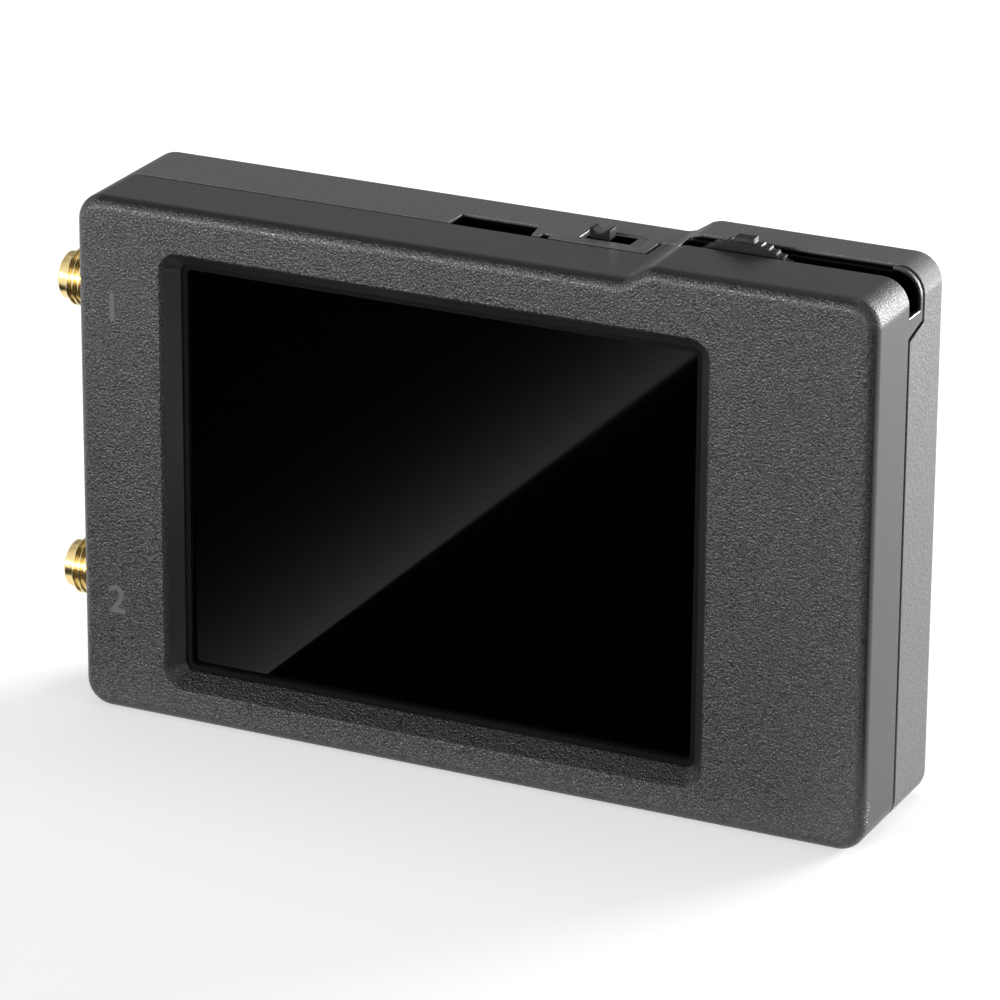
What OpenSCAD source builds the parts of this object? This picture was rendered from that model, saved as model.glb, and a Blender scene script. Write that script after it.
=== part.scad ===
// Pocket antenna analyzer: a two-shell plastic case with a window for a touch screen,
// two threaded coaxial ports, a charging socket, a slide power switch and a jog wheel.
// Millimetres. X runs along the case to the right, Y from the front to the rear, Z up.
// The origin is the middle of the long bottom edge that the case stands on.

/* [Case] */
// Width of the case, without the ports
case_w = 92; // [90:0.5:98]
// Depth of the case from the front face to the rear face
case_d = 18.4; // [18.2:0.1:21]
// Height of the low part of the top edge
low_h = 58.8; // [58:0.1:62]
// How far the right part of the top edge stands above the low part
raise_h = 1.7; // [1:0.1:2.2]
// Thickness of the side walls
wall = 2; // [1.7:0.1:2.2]
// Thickness of the front wall
front_wall = 2.2; // [2.1:0.1:2.5]
// Thickness of the rear wall
rear_wall = 1.9; // [1.5:0.1:2.1]
// Corner radius of the outline
corner_r = 3; // [2.8:0.1:3.6]
// Radius of the rounded front edge
front_round = 1.45; // [1:0.05:1.8]
// Radius of the rounded rear edge
rear_round = 0.8; // [0.5:0.05:1.2]
// Depth of the front shell, from the front face to the seam
front_depth = 8.8; // [8.7:0.1:9.6]
// Width of the groove at the seam
seam_gap = 0.4; // [0.2:0.05:0.5]
// Height of the locating lip on the front shell
lip_h = 1.2; // [0.8:0.1:1.6]
// Thickness of the locating lip
lip_t = 0.8; // [0.6:0.05:1]
// Clearance around the locating lip
lip_clear = 0.1; // [0.05:0.05:0.15]

/* [Raised corner] */
// Distance from the right side to the foot of the ramp
ramp_foot = 28.4; // [27.5:0.1:28.8]
// Length of the ramp
ramp_run = 3.7; // [3:0.1:4.2]
// Distance from the right side to the left edge of the front shell's tab
tab_reach = 29.2; // [29:0.1:30]
// How far the tab reaches back from the seam
tab_depth = 3.75; // [3.6:0.05:4]
// Height of the tab's lower edge below the raised top
tab_drop = 5.5; // [5.2:0.1:6]
// How much lower the tab's lower edge lies at the seam
tab_slant = 0.95; // [0.6:0.05:1.2]
// Distance from the right side to the left end of the wheel slot
slot_reach = 25.8; // [25.3:0.1:26.2]
// Width of the wheel slot
slot_w = 3.1; // [2.9:0.05:3.2]
// How far the slot runs down the right side from the raised top
slot_drop = 4.2; // [3.8:0.1:4.6]
// How far the thin rim behind the slot lies below the top
rim_drop = 0.55; // [0.3:0.05:0.8]
// Distance from the right side at which the rim comes up to the surface
rim_end = 3.2; // [3:0.1:5]

/* [Window] */
// Distance from the left side to the window
window_left = 10.1; // [9.8:0.1:10.4]
// Distance from the right side to the window
window_right = 18.1; // [17.5:0.1:20]
// Distance from the bottom to the window
window_bottom = 3.8; // [3.7:0.1:4.4]
// Distance from the low part of the top edge to the window
window_top = 5; // [4.9:0.1:6]
// Corner radius of the window at the front face
window_r = 2.4; // [2:0.1:3]
// Width of the sloping edge
bevel_run = 1.7; // [1.4:0.1:2]
// Depth of the sloping edge
bevel_depth = 1.95; // [1.6:0.05:2]

/* [Screen] */
// Thickness of the foam gasket
gasket_t = 0.6; // [0.4:0.05:0.8]
// How far the gasket stands into the window
gasket_show = 0.6; // [0.3:0.05:0.9]
// How far the touch panel reaches past the window at the sides
touch_side = 4.4; // [3.5:0.1:4.5]
// How far the touch panel reaches past the window at the top and bottom
touch_end = 1.9; // [1.5:0.1:2]
// Thickness of the touch panel
touch_t = 1.1; // [0.9:0.05:1.2]
// Width of the screen tray's rim around the display glass
tray_rim = 1.3; // [1:0.1:1.5]
// Thickness of the display glass
lcd_t = 1.2; // [1:0.05:1.3]
// Thickness of the light guide behind the display glass
guide_t = 0.6; // [0.4:0.05:0.7]
// Width of the flat ribbon
ribbon_w = 18; // [14:0.5:22]
// Thickness of the flat ribbon
ribbon_t = 0.12; // [0.1:0.01:0.2]
// Length of the ribbon's end on the circuit board
ribbon_pad = 4; // [3:0.5:5]

/* [Circuit board] */
// Thickness of the circuit board
board_t = 1.6; // [1.5:0.1:1.7]
// Gap between the board's edge and the case walls
board_gap = 0.6; // [0.4:0.1:0.8]
// Width of the shield can
shield_w = 28; // [24:0.5:28.5]
// Height of the shield can
shield_h = 32; // [28:0.5:33]
// How far the shield can stands off the board
shield_t = 2.4; // [2:0.1:2.5]
// Distance from the board's left edge to the shield can
shield_left = 8; // [7.5:0.1:9]
// Sheet thickness of the shield can
shield_sheet = 0.2; // [0.15:0.05:0.3]

/* [Coaxial ports] */
// Height of the lower port's axis
port_z = 12.9; // [12:0.1:13.5]
// Distance from the low part of the top edge to the upper port's axis
port_top = 12.3; // [12:0.1:13.5]
// How far the ports stand out of the case
port_reach = 5.35; // [5:0.05:7]
// Outer radius of the thread
thread_r = 3.175; // [3.1:0.005:3.2]
// Depth of the thread
thread_depth = 0.4; // [0.3:0.02:0.45]
// Pitch of the thread
thread_pitch = 0.706; // [0.65:0.001:0.8]
// Radius of the plain lead-in at the tip
tip_r = 2.65; // [2.6:0.02:2.7]
// Length of the plain lead-in
tip_l = 1.2; // [1:0.05:1.4]
// Radius of the plain barrel inside the wall
barrel_r = 2.95; // [2.8:0.02:3]
// Clearance between the port and the case
port_clear = 0.2; // [0.15:0.05:0.3]
// Width of the square flange
flange_w = 6.35; // [6.2:0.05:6.6]
// Thickness of the square flange
flange_t = 1.6; // [1.4:0.05:1.8]
// Radius of the socket in the tip
socket_r = 2.3; // [2.2:0.01:2.35]
// Depth of the socket in the tip
socket_l = 1.9; // [1.7:0.05:2.1]
// Radius of the insulator
insulator_r = 2.05; // [2:0.01:2.1]
// Outer radius of the centre contact
contact_r = 0.64; // [0.6:0.01:0.7]
// Radius of the hole in the centre contact
contact_bore = 0.47; // [0.46:0.005:0.5]
// Depth of the hole in the centre contact
contact_depth = 2.6; // [2.4:0.1:3]
// Length of the soldering legs
leg_l = 3.5; // [3:0.1:3.6]
// Width of the soldering legs
leg_w = 0.9; // [0.8:0.05:1]

/* [Charging socket] */
// Distance from the middle of the socket to the light notch
usb_gap = 6.2; // [5.9:0.1:6.6]
// Width of the socket
usb_w = 8.94; // [8.8:0.02:9]
// Thickness of the socket
usb_t = 3.26; // [3.2:0.02:3.3]
// Length of the socket
usb_l = 7.3; // [6.8:0.1:7.4]
// Sheet thickness of the socket's shell
usb_sheet = 0.3; // [0.25:0.05:0.35]
// Width of the opening in the case at the seam
usb_open_w = 9.7; // [9.5:0.1:10]
// How much narrower the opening is at the rear
usb_open_taper = 0.9; // [0.4:0.1:1]
// Depth of the opening in the case
usb_open_d = 3.7; // [3.5:0.05:3.8]
// Width of the socket's tongue
tongue_w = 6.7; // [6.5:0.05:6.9]
// Thickness of the socket's tongue
tongue_t = 0.7; // [0.6:0.02:0.8]

/* [Status lights] */
// Distance from the notch over the lights to the switch window
light_gap = 3.95; // [3.6:0.05:4.3]
// Width of the notch
light_notch_w = 1; // [0.8:0.05:1.2]
// Depth of the notch
light_notch_d = 1.55; // [1.2:0.05:1.8]
// Length of a light
light_l = 0.8; // [0.6:0.05:0.9]
// Distance between the two lights
light_pitch = 2.4; // [2:0.1:2.8]

/* [Power switch] */
// Distance from the switch window to the front shell's tab
switch_gap = 3.1; // [2.9:0.05:3.6]
// Width of the switch window
switch_w = 4.95; // [4.8:0.05:5.1]
// Depth of the switch window
switch_d = 2.1; // [2.05:0.05:2.3]
// Distance from the seam to the switch window
switch_back = 2.4; // [2.2:0.05:2.6]
// Width of the switch knob
knob_w = 2.3; // [2.1:0.05:2.4]
// Depth of the switch knob
knob_d = 1.6; // [1.4:0.05:1.65]
// How far the switch knob stands above the case
knob_proud = 0.95; // [0.6:0.05:1.4]
// Depth of the notch in the switch knob
knob_notch = 0.75; // [0.4:0.05:0.85]
// Travel of the switch knob
switch_travel = 2; // [1.8:0.05:2.1]
// Length of the switch body
switch_body_w = 8.8; // [8.6:0.1:9]
// Height of the switch body
switch_body_h = 4; // [3.8:0.1:4.2]
// Thickness of the switch body's sheet
switch_sheet = 0.3; // [0.25:0.05:0.35]
// Running clearance of the slider
slider_clear = 0.15; // [0.1:0.05:0.2]

/* [Jog wheel] */
// Distance from the right side to the wheel's axis
wheel_x = 18.7; // [18.5:0.1:19]
// Radius of the wheel's rim
wheel_r = 7.8; // [7.6:0.1:8.2]
// How far the rim stands above the raised top
wheel_proud = 0.95; // [0.8:0.05:1.2]
// Width of the rim
rim_w = 1.65; // [1.5:0.05:1.8]
// Height of the rim
rim_h = 1.4; // [1.2:0.05:1.6]
// Distance from the seam to the rim
rim_back = 0.45; // [0.35:0.05:0.6]
// Thickness of the wheel's web
web_t = 1.1; // [0.9:0.05:1.2]
// Half the angle that the rim covers
wheel_half = 42; // [38:1:44]
// Turn of the wheel to each side
wheel_turn = 12; // [8:1:14]
// Travel of the wheel when it is pressed
wheel_press = 0.5; // [0.3:0.05:0.6]
// Width of the lug on the rim
lug_w = 2.15; // [1.8:0.05:2.4]
// Height of the lug
lug_h = 0.45; // [0.35:0.05:0.6]
// Angle between the teeth
tooth_step = 6.5; // [6:0.1:7.5]
// Height of the teeth
tooth_h = 0.28; // [0.15:0.01:0.35]
// Width of the smooth edge in front of the teeth and the lug
tooth_back = 0.35; // [0.2:0.05:0.5]
// Radius of the axle pin
axle_r = 0.75; // [0.6:0.05:0.85]
// Radial clearance on the axle pin
axle_clear = 0.05; // [0.02:0.01:0.08]
// Radius of the wheel's hub
hub_r = 1.9; // [1.7:0.05:2]
// Width of the jog switch
jog_w = 11; // [10.6:0.1:11.6]
// Thickness of the jog switch's walls
jog_wall = 0.6; // [0.5:0.05:0.7]
// Thickness of the jog switch's floor
jog_floor = 0.4; // [0.3:0.05:0.45]
// Running clearance in the jog switch
jog_clear = 0.08; // [0.05:0.01:0.1]

/* [Battery] */
// Width of the battery
battery_w = 50; // [44:0.5:51]
// Distance from the low part of the top edge to the battery
battery_top = 12.3; // [11.6:0.1:15]
// Thickness of the battery
battery_t = 4.4; // [4:0.1:4.5]
// Distance from the left side to the battery
battery_left = 13; // [12:0.5:13.5]
// Height of the battery's lower edge
battery_z = 10.5; // [9:0.5:11]
// Thickness of the adhesive pad behind the battery
pad_t = 0.4; // [0.3:0.05:0.5]
// Radius of a battery lead
lead_r = 0.45; // [0.35:0.05:0.5]
// Width of the battery plug
plug_w = 4.4; // [4:0.1:5]
// Thickness of the battery plug
plug_t = 1.9; // [1.7:0.1:2.1]

/* [Case screws] */
// Gap between the screw bosses and the touch panel
screw_gap = 0.15; // [0.1:0.05:0.2]
// Distance from the case's lower and low upper edge to the screws
screw_z = 5.3; // [5.2:0.1:6]
// Radius of the screw
screw_r = 0.95; // [0.9:0.05:1]
// Radius of the screw head
head_r = 1.75; // [1.6:0.05:1.85]
// Height of the screw head
head_h = 1.1; // [0.9:0.05:1.3]
// How deep the screw head lies below the rear face
head_sink = 1.2; // [0.8:0.1:1.6]
// Clearance around the screw head
head_clear = 0.2; // [0.15:0.05:0.25]
// Radial clearance of the screw in the board and the rear shell
screw_clear = 0.2; // [0.15:0.05:0.3]
// Wall around the screw holes
boss_wall = 0.7; // [0.6:0.05:0.75]

/* [Hidden] */
$fn = 64;
e = 0.05;
cut = 1;
thread_fit = 0.04;
left_x = -case_w / 2;
right_x = case_w / 2;
front_y = -case_d / 2;
rear_y = case_d / 2;
high_h = low_h + raise_h;
seam_y = front_y + front_depth;
inner_y = front_y + front_wall;
back_y = rear_y - rear_wall;
hull_fn = 32;

// Ramp between the low and the raised top
ramp_x0 = right_x - ramp_foot;
ramp_x1 = ramp_x0 + ramp_run;
ramp_steps = 4;
tab_x = right_x - tab_reach;
tab_y = seam_y + tab_depth;
slot_x = right_x - slot_reach;
slot_y = seam_y + slot_w;
slot_z = high_h - slot_drop;

// Window and screen
window_w = case_w - window_left - window_right;
window_h = low_h - window_bottom - window_top;
window_cx = left_x + window_left + window_w / 2;
window_cz = window_bottom + window_h / 2;
clear_w = window_w - 2 * bevel_run;
clear_h = window_h - 2 * bevel_run;
clear_r = 1;
gasket_in_w = clear_w - 2 * gasket_show;
gasket_in_h = clear_h - 2 * gasket_show;
touch_y = inner_y + gasket_t;
lcd_y = touch_y + touch_t;
guide_y = lcd_y + lcd_t;
tray_floor = 0.8;
tray_back = guide_y + guide_t + tray_floor;
lcd_clear = 0.2;
touch_w = clear_w + 2 * touch_side;
touch_h = clear_h + 2 * touch_end;
lcd_w = touch_w - 2 * (tray_rim + lcd_clear);
lcd_h = touch_h - 2 * (tray_rim + lcd_clear);
touch_x0 = window_cx - touch_w / 2;
touch_x1 = window_cx + touch_w / 2;
lcd_x1 = window_cx + lcd_w / 2;

// Circuit board
board_back = seam_y;
board_front = board_back - board_t;
board_x0 = left_x + wall + 0.1 + flange_t;
board_x1 = right_x - wall - board_gap;
board_z0 = wall + board_gap;
board_z1 = low_h - wall - board_gap;
shield_x0 = board_x0 + shield_left;
shield_x1 = shield_x0 + shield_w;
shield_z0 = window_cz - shield_h / 2;
shield_wall = 0.3;
chip_step = shield_w / 4;
mcu_w = 7;
mcu_t = 1.4;
synth_w = 5;
charger_w = 3;
mixer_w = 4;
chip_t = 1;
part_l = 1.6;
part_w = 0.8;
part_t = 0.6;
part_step = 3;
part_rows = [-20, 7];
crystal_w = 3.2;
crystal_h = 2.5;
crystal_t = 0.8;

// Ports
port_y = board_back - board_t / 2;
port_tip = left_x - port_reach;
port_flange_x = board_x0 - flange_t;
port_heights = [low_h - port_top, port_z];
thread_room = port_reach - tip_l - 0.1;
thread_turns = floor(thread_room / thread_pitch);
crest_w = 0.3 * thread_pitch;
flank_w = 0.25 * thread_pitch;
hole_r = thread_r + port_clear;
fit_gap = 0.03;

// Power switch
switch_x0 = tab_x - switch_gap - switch_w;
switch_y0 = seam_y + switch_back;
knob_x0 = switch_x0 + (switch_w - switch_travel - knob_w) / 2;
knob_cx = knob_x0 + knob_w / 2;
knob_y0 = switch_y0 + (switch_d - knob_d) / 2;
knob_cy = knob_y0 + knob_d / 2;
body_cx = knob_cx + switch_travel / 2;
body_t = 3.5;
body_y0 = knob_cy - body_t / 2;
body_y1 = body_y0 + body_t;
body_z1 = low_h - wall - 0.3;
body_z0 = body_z1 - switch_body_h;
slider_w = 3.6;
switch_pin = 2.5;

// Lights and charging socket
light_cx = switch_x0 - light_gap;
light_t = 0.6;
light_h = 0.8;
usb_cx = light_cx - usb_gap;
usb_top = low_h - wall - 0.1;
usb_r = 1.2;

// Jog wheel
wheel_cx = right_x - wheel_x;
wheel_cz = high_h + wheel_proud - wheel_r;
rim_y0 = seam_y + rim_back;
rim_y1 = rim_y0 + rim_w;
web_y0 = rim_y1 - web_t;
jog_floor_y = board_back + jog_floor;
jog_slack = 0.3;
jog_top = wheel_cz + (jog_w / 2 - jog_wall - jog_slack) / tan(wheel_half + wheel_turn) - wheel_press;
jog_low = 5.2;
jog_z0 = wheel_cz - jog_low;
jog_depth = 3.2;
jog_y1 = board_back + jog_depth;
jog_sheet = 0.25;
plate_w = 5.2;
plate_low = 3.2;
plate_high = 2.2;
foot_h = 0.9;
foot_w = 2.4;
plate_y0 = jog_floor_y + jog_clear;
plate_y1 = web_y0 - jog_clear;
axle_y1 = jog_y1 - 0.3;
jog_pin = 2;
push_spring_r = 0.5;
push_wire = 0.1;
push_turns = 3;
push_room = jog_low - jog_wall - plate_low;
turn_spring_r = 1.3;
turn_wire = 0.14;
turn_turns = 1;

// Battery
battery_h = low_h - battery_z - battery_top;
pad_y = back_y - pad_t;
battery_y = pad_y - battery_t;
battery_x0 = left_x + battery_left;
battery_x1 = battery_x0 + battery_w;
battery_r = 1.2;
guard_w = 3;
guard_h = 26;
guard_t = 1;
guard_y = battery_y + 0.6;
plug_x0 = battery_x1 + guard_w + 2.2;
plug_l = 3;
plug_z = battery_z + battery_h / 2;
plug_y = guard_y - plug_t / 2;
jack_wall = 0.4;
jack_l = 4.6;

// Screws
boss_r = screw_r + boss_wall;
screw_x = touch_x0 - screw_gap - boss_r;
screw_xs = [screw_x, -screw_x];
screw_zs = [screw_z, low_h - screw_z];
head_y = rear_y - head_sink;
screw_tip = inner_y + 1;
rear_boss_r = head_r + head_clear + boss_wall;

// Rectangle with four round corners, centred
module rounded_rect(w, h, r) {
    square([w - 2 * r, h], center = true);
    square([w, h - 2 * r], center = true);
    for (x = [r - w / 2, w / 2 - r])
        for (z = [r - h / 2, h / 2 - r])
            translate([x, z])
                circle(r);
}

// Flat piece with round corners, between the depths y0 and y1
module slab(cx, cz, w, h, y0, y1, r) {
    translate([cx, y1, cz])
        rotate([90, 0, 0])
            linear_extrude(y1 - y0)
                rounded_rect(w, h, r);
}

// Plain block between two corners
module block(x0, x1, y0, y1, z0, z1) {
    translate([x0, y0, z0])
        cube([x1 - x0, y1 - y0, z1 - z0]);
}

// Cylinder along Y between the depths y0 and y1
module post(x, z, r, y0, y1) {
    translate([x, y1, z])
        rotate([90, 0, 0])
            cylinder(r = r, h = y1 - y0);
}

// Cylinder that points out of the left side, from x0 outwards to x1
module left_rod(y, z, r, x0, x1) {
    translate([x0, y, z])
        rotate([0, -90, 0])
            cylinder(r = r, h = x0 - x1);
}

// Half section of the case wall's depth, with its two rounded edges, out to radius r
module edge_profile(r) {
    translate([0, front_y + front_round])
        square([r, case_d - front_round - rear_round]);
    translate([0, front_y])
        square([r - front_round, case_d / 2]);
    translate([0, 0])
        square([r - rear_round, case_d / 2]);
    translate([r - front_round, front_y + front_round])
        circle(front_round, $fn = hull_fn);
    translate([r - rear_round, rear_y - rear_round])
        circle(rear_round, $fn = hull_fn);
}

// Round corner of the case, as a disc about the Y direction
module corner_puck(x, z) {
    translate([x, 0, z])
        rotate([-90, 0, 0])
            rotate_extrude($fn = hull_fn)
                intersection() {
                    edge_profile(corner_r);
                    translate([0, front_y])
                        square([corner_r, case_d]);
                }
}

// Thin upright slice of the case that reaches the height h
module case_slice(x, h) {
    base = low_h / 2;
    translate([x, 0, base])
        rotate([90, 0, 90])
            linear_extrude(e)
                rotate([0, 0, 90])
                    mirror([0, 1])
                        edge_profile(h - base);
}

function ramp_height(t) = low_h + raise_h * (1 - cos(180 * t)) / 2;

// Outer form of the closed case
module case_block() {
    r = corner_r;
    hull()
        for (x = [left_x + r, right_x - r])
            for (z = [r, low_h - r])
                corner_puck(x, z);
    hull() {
        case_slice(ramp_x1, high_h);
        corner_puck(right_x - r, high_h - r);
        corner_puck(right_x - r, low_h - r);
    }
    for (i = [0 : ramp_steps - 1])
        hull() {
            case_slice(ramp_x0 + ramp_run * i / ramp_steps, ramp_height(i / ramp_steps));
            case_slice(
                ramp_x0 + ramp_run * (i + 1) / ramp_steps,
                ramp_height((i + 1) / ramp_steps)
            );
        }
}

// Hollow inside the case, from y0 to y1
module case_hollow(y0, y1) {
    inner_r = corner_r - wall;
    inner_w = case_w - 2 * wall;
    slab(0, low_h / 2, inner_w, low_h - 2 * wall, y0, y1, inner_r);
    high_x0 = ramp_x1;
    high_w = right_x - wall - high_x0;
    slab(high_x0 + high_w / 2, high_h / 2, high_w, high_h - 2 * wall, y0, y1, inner_r);
}

// Space on the front side of the seam, grown by the width g
module front_zone(g) {
    block(left_x - cut, right_x + cut, front_y - cut, seam_y + g, -cut, high_h + cut);
    x0 = tab_x - g;
    z0 = high_h - tab_drop - g;
    translate([x0, 0, 0])
        rotate([90, 0, 90])
            linear_extrude(right_x + cut - x0)
                polygon([
                    [seam_y - cut, z0 - tab_slant],
                    [seam_y + g, z0 - tab_slant],
                    [tab_y + g, z0],
                    [tab_y + g, high_h + cut],
                    [seam_y - cut, high_h + cut]
                ]);
}

// Outer form of the locating lip inside the seam, grown by the clearance g
module lip_form(g) {
    grow = lip_t + g;
    w = case_w - 2 * wall + 2 * grow;
    h = low_h - 2 * wall + 2 * grow;
    top = low_h / 2 + 2 * corner_r + g;
    intersection() {
        slab(0, low_h / 2, w, h, seam_y - cut, seam_y + lip_h + g, corner_r - wall + lip_t);
        block(left_x, right_x, seam_y - cut, seam_y + lip_h + g, 0, top);
    }
}

module port_holes(g) {
    for (z = port_heights)
        left_rod(port_y, z, hole_r + g, left_x + wall + cut, left_x - cut);
}

// Notches through which the ports drop in from the rear
module port_notches() {
    port_holes(0);
    for (z = port_heights)
        block(
            left_x - cut, left_x + wall + lip_t,
            port_y, seam_y + lip_h + cut,
            z - hole_r, z + hole_r
        );
}

module window_cut() {
    hull() {
        slab(window_cx, window_cz, window_w + 2 * e, window_h + 2 * e,
            front_y - 2 * e, front_y - e, window_r, $fn = hull_fn);
        slab(window_cx, window_cz, clear_w, clear_h,
            front_y + bevel_depth, front_y + bevel_depth + e, clear_r, $fn = hull_fn);
    }
    slab(window_cx, window_cz, clear_w, clear_h, front_y, inner_y + cut, clear_r);
}

// Slot for the jog wheel, along the raised top and a little way down the right side
module wheel_slot() {
    block(slot_x, right_x + cut, seam_y, slot_y, slot_z, high_h + cut);
    block(slot_x, right_x - rim_end, slot_y - cut, tab_y + cut, high_h - rim_drop, high_h + cut);
}

module front_boss(x, z) {
    post(x, z, boss_r, inner_y - e, board_front);
}

module front_shell() {
    color([0.30, 0.30, 0.31])
        difference() {
            union() {
                difference() {
                    intersection() {
                        case_block();
                        front_zone(0);
                    }
                    case_hollow(inner_y, rear_y);
                }
                difference() {
                    lip_form(0);
                    case_hollow(seam_y - 2 * cut, rear_y);
                }
                for (x = screw_xs)
                    for (z = screw_zs)
                        front_boss(x, z);
            }
            window_cut();
            wheel_slot();
            port_notches();
            for (x = screw_xs)
                for (z = screw_zs)
                    post(x, z, screw_r + thread_fit, screw_tip - 0.4, board_front + cut);
        }
}

// Openings in the top edge of the rear shell
module top_openings() {
    z0 = low_h - wall - cut;
    h = wall + 2 * cut;
    half = usb_open_w / 2;
    translate([usb_cx, seam_y, z0])
        linear_extrude(h)
            polygon([
                [-half, -cut],
                [-half, 0],
                [usb_open_taper / 3 - half, usb_open_d],
                [half - usb_open_taper * 2 / 3, usb_open_d],
                [half, 0],
                [half, -cut]
            ]);
    block(
        light_cx - light_notch_w / 2, light_cx + light_notch_w / 2,
        seam_y - cut, seam_y + light_notch_d,
        z0, z0 + h
    );
    block(switch_x0, switch_x0 + switch_w, switch_y0, switch_y0 + switch_d, z0, z0 + h);
    border = 0.6;
    block(
        switch_x0 - border, switch_x0 + switch_w + 2 * border,
        switch_y0 - border / 2, switch_y0 + switch_d + border,
        low_h - 0.15, low_h + cut
    );
}

module rear_shell() {
    color([0.33, 0.33, 0.34])
        difference() {
            union() {
                difference() {
                    case_block();
                    front_zone(seam_gap);
                    case_hollow(front_y, back_y);
                    lip_form(lip_clear);
                }
                for (x = screw_xs)
                    for (z = screw_zs)
                        post(x, z, rear_boss_r, board_back, back_y + e);
            }
            top_openings();
            port_holes(0);
            for (x = screw_xs)
                for (z = screw_zs) {
                    post(x, z, screw_r + screw_clear, board_back - cut, rear_y);
                    post(x, z, head_r + head_clear, head_y - head_h, rear_y + cut);
                }
        }
}

module case_screw(x, z) {
    slot_w2 = 0.5;
    difference() {
        union() {
            post(x, z, head_r, head_y - head_h, head_y);
            post(x, z, screw_r, screw_tip, head_y - head_h + e);
        }
        block(x - slot_w2 / 2, x + slot_w2 / 2, head_y - 0.5, head_y + cut, z - 1.1, z + 1.1);
        block(x - 1.1, x + 1.1, head_y - 0.5, head_y + cut, z - slot_w2 / 2, z + slot_w2 / 2);
    }
}

module case_screws() {
    color([0.22, 0.22, 0.23])
        for (x = screw_xs)
            for (z = screw_zs)
                case_screw(x, z);
}

module screen_gasket() {
    color([0.06, 0.06, 0.06])
        difference() {
            slab(window_cx, window_cz, touch_w, touch_h, inner_y, touch_y, 0.5);
            slab(window_cx, window_cz, gasket_in_w, gasket_in_h, inner_y - cut, touch_y + cut, 0.6);
        }
}

module touch_panel() {
    color([0.03, 0.03, 0.03])
        slab(window_cx, window_cz, touch_w, touch_h, touch_y, lcd_y, 0.5);
}

module lcd_panel() {
    color([0.05, 0.05, 0.07])
        slab(window_cx, window_cz, lcd_w, lcd_h, lcd_y, guide_y, 0.3);
}

module light_guide() {
    color([0.9, 0.9, 0.88])
        slab(window_cx, window_cz, lcd_w, lcd_h, guide_y, guide_y + guide_t, 0.3);
}

module screen_tray() {
    color([0.75, 0.75, 0.77])
        difference() {
            slab(window_cx, window_cz, touch_w, touch_h, lcd_y, tray_back, 0.5);
            slab(window_cx, window_cz, lcd_w + 2 * lcd_clear, lcd_h + 2 * lcd_clear,
                lcd_y - cut, guide_y + guide_t, 0.3);
            block(lcd_x1, touch_x1 + cut, lcd_y - cut, guide_y,
                window_cz - ribbon_w / 2 - lcd_clear, window_cz + ribbon_w / 2 + lcd_clear);
        }
}

module screen_ribbon() {
    y0 = guide_y - 2 * ribbon_t;
    y1 = board_front - ribbon_t;
    x0 = lcd_x1;
    x1 = touch_x1 + 0.8;
    x2 = x1 + 2;
    t = ribbon_t;
    color([0.75, 0.45, 0.12])
        translate([0, 0, window_cz - ribbon_w / 2])
            linear_extrude(ribbon_w)
                polygon([
                    [x0, y0], [x1, y0], [x2, y1], [x2 + ribbon_pad, y1],
                    [x2 + ribbon_pad, y1 + t], [x2 - t, y1 + t], [x1 - t, y0 + t], [x0, y0 + t]
                ]);
}

module screen_tape() {
    tape_w = 60;
    tape_h = 44;
    color([0.85, 0.85, 0.82])
        slab(window_cx, window_cz, tape_w, tape_h, tray_back, board_front, 0.5);
}

module main_board() {
    w = board_x1 - board_x0;
    h = board_z1 - board_z0;
    color([0.05, 0.05, 0.06])
        difference() {
            slab(board_x0 + w / 2, board_z0 + h / 2, w, h, board_front, board_back, 1);
            for (x = screw_xs)
                for (z = screw_zs)
                    post(x, z, screw_r + screw_clear, board_front - cut, board_back + cut);
        }
}

module shield_frame() {
    t = shield_wall;
    g = shield_sheet;
    x0 = shield_x0 + g + fit_gap;
    x1 = shield_x1 - g - fit_gap;
    z0 = shield_z0 + g + fit_gap;
    z1 = shield_z0 + shield_h - g - fit_gap;
    y1 = board_back + shield_t - g - fit_gap;
    mid = (z0 + z1) / 2;
    color([0.72, 0.72, 0.70])
        difference() {
            block(x0, x1, board_back, y1, z0, z1);
            block(x0 + t, x1 - t, board_back - cut, y1 + cut, z0 + t, mid - t);
            block(x0 + t, x1 - t, board_back - cut, y1 + cut, mid + t, z1 - t);
        }
}

module shield_lid() {
    g = shield_sheet;
    y1 = board_back + shield_t;
    color([0.78, 0.78, 0.76])
        difference() {
            block(shield_x0, shield_x1, board_back + 0.3, y1, shield_z0, shield_z0 + shield_h);
            block(shield_x0 + g, shield_x1 - g, board_back, y1 - g,
                shield_z0 + g, shield_z0 + shield_h - g);
        }
}

// Square chip with a chamfered top, standing on the board
module chip(x, z, w, h, t) {
    y0 = board_back;
    block(x - w / 2, x + w / 2, y0, y0 + t * 0.7, z - h / 2, z + h / 2);
    c = 0.15;
    block(x - w / 2 + c, x + w / 2 - c, y0, y0 + t, z - h / 2 + c, z + h / 2 - c);
}

module board_chips() {
    mcu_x = shield_x1 + 1.3 * mcu_w;
    low_z = window_cz - 2 * mcu_w + mixer_w / 2;
    color([0.10, 0.10, 0.11]) {
        chip(mcu_x, window_cz - 2, mcu_w, mcu_w, mcu_t);
        chip(mcu_x + 1, low_z, synth_w, synth_w, chip_t);
        chip(mcu_x + 2 * mcu_w, low_z, charger_w, charger_w, chip_t);
        for (x = [shield_x0 + chip_step, shield_x1 - chip_step])
            for (z = [shield_z0 + chip_step, shield_z0 + shield_h - chip_step])
                chip(x, z, mixer_w, mixer_w, chip_t);
    }
}

module board_parts() {
    start = shield_x1 + mixer_w;
    color([0.62, 0.52, 0.40])
        for (i = [0 : 5])
            for (row = part_rows) {
                x = start + part_step * i;
                z = window_cz + row;
                block(x, x + part_w, board_back, board_back + part_t, z, z + part_l);
            }
}

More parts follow.
